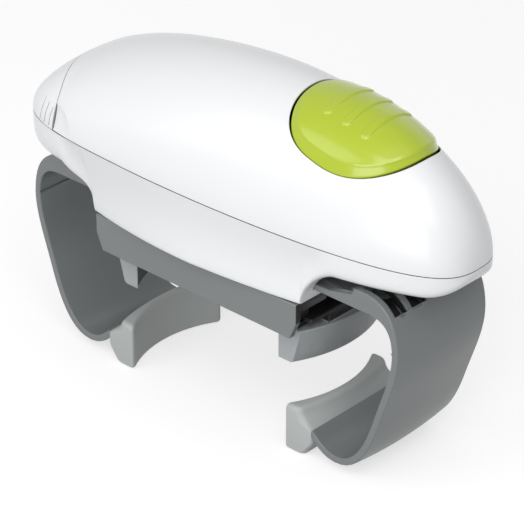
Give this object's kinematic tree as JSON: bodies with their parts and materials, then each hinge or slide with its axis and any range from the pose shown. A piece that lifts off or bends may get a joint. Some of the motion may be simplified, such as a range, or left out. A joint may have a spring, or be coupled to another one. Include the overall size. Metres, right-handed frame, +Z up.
{
  "type": "electric jar opener",
  "caption": "Egg-shaped electric jar opener: sliding C-shaped arms hold the jar while a turning carriage with its own jaws unscrews the lid.",
  "frame": {"origin": "on the axis of the jar and the spindle, level with the lower edges of the jar pads", "axes": "+Z up along the jar's axis, +X towards the button end, +Y across the body"},
  "size_m": [0.1909, 0.074, 0.1345],
  "materials": {
    "shell_white": "semi-gloss moulded",
    "button_lime": "gloss moulded",
    "gear_ivory": "moulded",
    "spring_steel": "drawn wire",
    "arm_grey": "satin moulded",
    "pad_grey": "soft-touch",
    "rack_dark": "moulded",
    "screw_steel": "zinc plated",
    "carriage_grey": "satin moulded",
    "steel_bright": "turned",
    "jaw_grey": "satin moulded",
    "liner_dark": "ribbed",
    "gear_brass": "machined",
    "chassis_dark": "moulded",
    "bush_bronze": "sintered",
    "motor_steel": "drawn can",
    "cell_wrap": "plain printed film",
    "contact_nickel": "nickel plated",
    "board_green": "solder resist",
    "switch_black": "moulded"
  },
  "bodies": {
    "housing": {"upper_shell": "shell_white", "lower_shell": "shell_white", "chassis_plate": "chassis_dark", "top_plate": "chassis_dark", "idler_pin": "steel_bright", "spindle_bush": "bush_bronze", "gearhead": "motor_steel", "motor": "motor_steel", "aa_cells": "cell_wrap", "battery_tray": "chassis_dark", "cell_contacts": "contact_nickel", "cell_springs": "spring_steel", "circuit_board": "board_green", "micro_switch": "switch_black", "shell_screws": "screw_steel", "chassis_screws": "screw_steel", "top_plate_screws": "screw_steel"},
    "button": {"button_cap": "button_lime", "button_stem": "gear_ivory", "button_spring": "spring_steel"},
    "battery_cover": {"battery_cover": "shell_white"},
    "right_arm": {"right_arm": "arm_grey", "right_jar_pad": "pad_grey", "right_arm_rack": "rack_dark", "right_rack_screws": "screw_steel"},
    "left_arm": {"left_arm": "arm_grey", "left_jar_pad": "pad_grey", "left_arm_rack": "rack_dark", "left_rack_screws": "screw_steel"},
    "jar_pinion": {"jar_pinion": "gear_ivory"},
    "carriage": {"carriage_frame": "carriage_grey", "carriage_cover": "carriage_grey", "carriage_screws": "screw_steel", "spindle": "steel_bright", "drive_gear": "gear_ivory", "spindle_clip": "steel_bright"},
    "lid_pinion": {"lid_pinion": "gear_ivory"},
    "right_lid_jaw": {"right_lid_jaw": "jaw_grey", "right_lid_liner": "liner_dark"},
    "left_lid_jaw": {"left_lid_jaw": "jaw_grey", "left_lid_liner": "liner_dark"},
    "idler_gear": {"idler_gear": "gear_ivory"},
    "motor_pinion": {"motor_pinion": "gear_brass"}
  },
  "joints": [
    {"name": "button_press", "type": "slide", "parent": "housing", "child": "button", "axis": [-0.2419, 0, -0.9703], "range_m": [0, 0.0025], "stiffness_N_per_m": 500, "springref_m": -0.001, "deforming": ["button_spring"]},
    {"name": "battery_cover_slide", "type": "slide", "parent": "housing", "child": "battery_cover", "axis": [-0.9988, 0, 0.0479], "range_m": [0, 0.02]},
    {"name": "right_arm_slide", "type": "slide", "parent": "housing", "child": "right_arm", "axis": [1, 0, 0], "range_m": [-0.024, 0.01]},
    {"name": "left_arm_slide", "type": "slide", "parent": "housing", "child": "left_arm", "axis": [-1, 0, 0], "range_m": [-0.024, 0.01]},
    {"name": "jar_pinion_spin", "type": "hinge", "parent": "housing", "child": "jar_pinion", "pos_m": [0, 0, 0.072], "axis": [0, 0, 1], "range_deg": [-78, 180]},
    {"name": "carriage_spin", "type": "hinge", "parent": "housing", "child": "carriage", "pos_m": [0, 0, 0.065], "axis": [0, 0, 1], "continuous": true},
    {"name": "idler_spin", "type": "hinge", "parent": "housing", "child": "idler_gear", "pos_m": [0.0248, 0, 0.087], "axis": [0, 0, 1], "continuous": true},
    {"name": "motor_pinion_spin", "type": "hinge", "parent": "housing", "child": "motor_pinion", "pos_m": [0.0056, 0, 0.089], "axis": [0, 0, 1], "continuous": true},
    {"name": "right_lid_jaw_slide", "type": "slide", "parent": "carriage", "child": "right_lid_jaw", "axis": [1, 0, 0], "range_m": [-0.022, 0.003]},
    {"name": "left_lid_jaw_slide", "type": "slide", "parent": "carriage", "child": "left_lid_jaw", "axis": [-1, 0, 0], "range_m": [-0.022, 0.003]},
    {"name": "lid_pinion_spin", "type": "hinge", "parent": "carriage", "child": "lid_pinion", "pos_m": [0, 0, 0.057], "axis": [0, 0, 1], "range_deg": [-32, 205]}
  ],
  "couplings": [
    {"joint": "left_arm_slide", "follows": "right_arm_slide", "ratio": 1},
    {"joint": "jar_pinion_spin", "follows": "right_arm_slide", "rad_per_m": -125},
    {"joint": "idler_spin", "follows": "carriage_spin", "ratio": -3.4286},
    {"joint": "motor_pinion_spin", "follows": "carriage_spin", "ratio": 10.286},
    {"joint": "left_lid_jaw_slide", "follows": "right_lid_jaw_slide", "ratio": 1},
    {"joint": "lid_pinion_spin", "follows": "right_lid_jaw_slide", "rad_per_m": -142.86}
  ]
}
